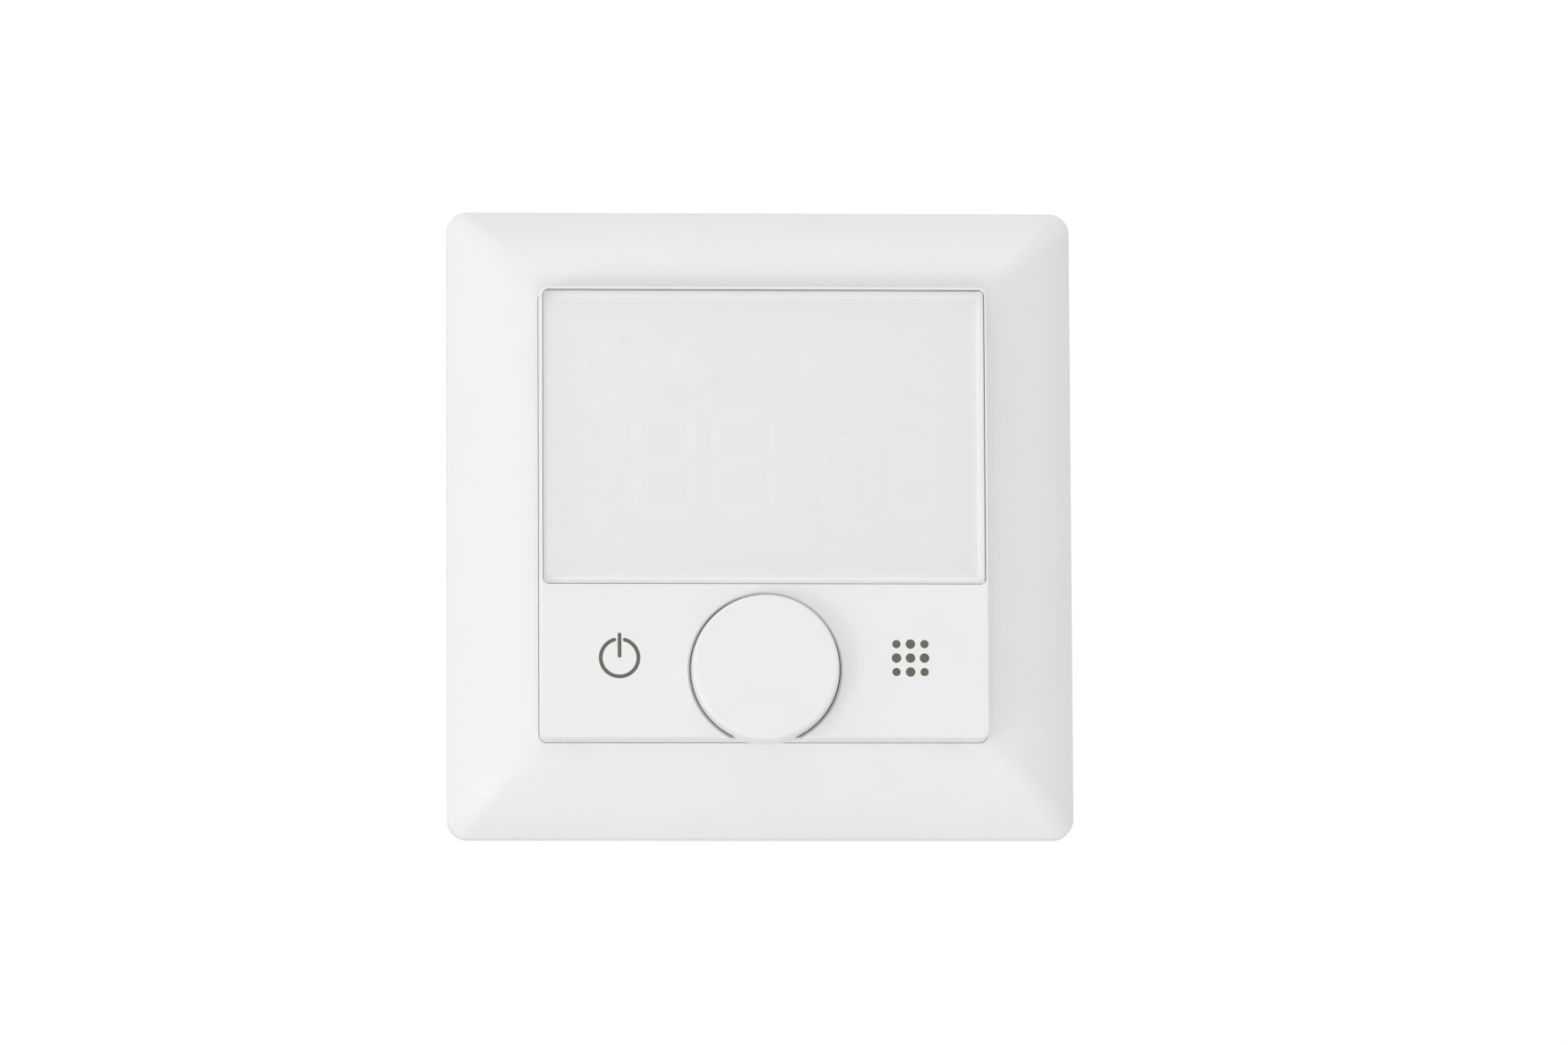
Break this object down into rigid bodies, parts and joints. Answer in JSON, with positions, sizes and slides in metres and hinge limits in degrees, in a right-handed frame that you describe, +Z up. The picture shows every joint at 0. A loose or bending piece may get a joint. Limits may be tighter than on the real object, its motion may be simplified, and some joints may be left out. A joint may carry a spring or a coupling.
{
  "type": "wall thermostat",
  "caption": "Flush wall thermostat with a square domed frame, glass display, two touch keys and a turn-and-press knob.",
  "frame": {"origin": "centre of the wall plane, on the axis of the wall box's screw circle", "axes": "+X to the right seen from the room, +Y into the wall, +Z up"},
  "size_m": [0.08, 0.044, 0.0808],
  "materials": {
    "white_shell": "satin",
    "knob_shell": "satin",
    "front_glass": "polished",
    "display": "satin",
    "tape": "matte",
    "trim": "polished",
    "print": "matte",
    "diffuser": "satin",
    "holder": "matte",
    "circuit_board": "satin",
    "black_plastic": "matte",
    "grey_plastic": "matte",
    "steel": "satin",
    "zinc_plate": "satin",
    "brass": "satin",
    "foam": "matte",
    "ferrite": "matte",
    "winding": "satin",
    "capacitor_sleeve": "gloss",
    "varistor_coat": "gloss",
    "fuse_body": "satin"
  },
  "bodies": {
    "housing": {"decor_frame": "white_shell", "front_cover": "white_shell", "display_glass": "front_glass", "display_tape": "tape", "lcd_panel": "display", "lcd_holder": "holder", "backlight_guide": "diffuser", "backlight_reflector": "diffuser", "backlight_leds": "holder", "lcd_pins": "steel", "knob_trim_ring": "trim", "power_mark": "print", "menu_mark": "print", "touch_pads": "foam", "control_board": "circuit_board", "control_chip": "black_plastic", "backup_cell": "steel", "room_sensor": "black_plastic", "board_plug": "black_plastic", "board_socket": "black_plastic", "encoder_housing": "black_plastic", "encoder_bushing": "brass", "encoder_dome": "steel", "front_base": "grey_plastic", "base_screws": "steel", "mounting_plate": "zinc_plate", "plate_screws": "steel", "power_housing": "grey_plastic", "power_lid": "grey_plastic", "lid_screws": "steel", "power_board": "circuit_board", "relay_case": "black_plastic", "relay_base": "black_plastic", "relay_coil": "winding", "relay_yoke": "steel", "relay_contact": "brass", "transformer_core": "ferrite", "transformer_bobbin": "winding", "bulk_capacitors": "capacitor_sleeve", "varistor": "varistor_coat", "fuse": "fuse_body", "terminal_block": "grey_plastic", "terminal_clamps": "brass", "terminal_screws": "steel"},
    "press_slide": {"encoder_plunger": "grey_plastic"},
    "knob": {"encoder_shaft": "brass", "knob_cap": "knob_shell", "knob_clip": "steel"},
    "armature": {"relay_armature": "steel"}
  },
  "joints": [
    {"name": "knob_press", "type": "slide", "parent": "housing", "child": "press_slide", "axis": [0, 1, 0], "range_m": [0, 0.0005], "stiffness_N_per_m": 2000},
    {"name": "knob_turn", "type": "hinge", "parent": "press_slide", "child": "knob", "pos_m": [0, -0.018, -0.0202], "axis": [0, 1, 0], "continuous": true},
    {"name": "relay_switch", "type": "hinge", "parent": "housing", "child": "armature", "pos_m": [0.0008, 0.0176, 0.0148], "axis": [0, 0, 1], "range_deg": [0, 4], "stiffness_Nm_per_rad": 0.05}
  ]
}
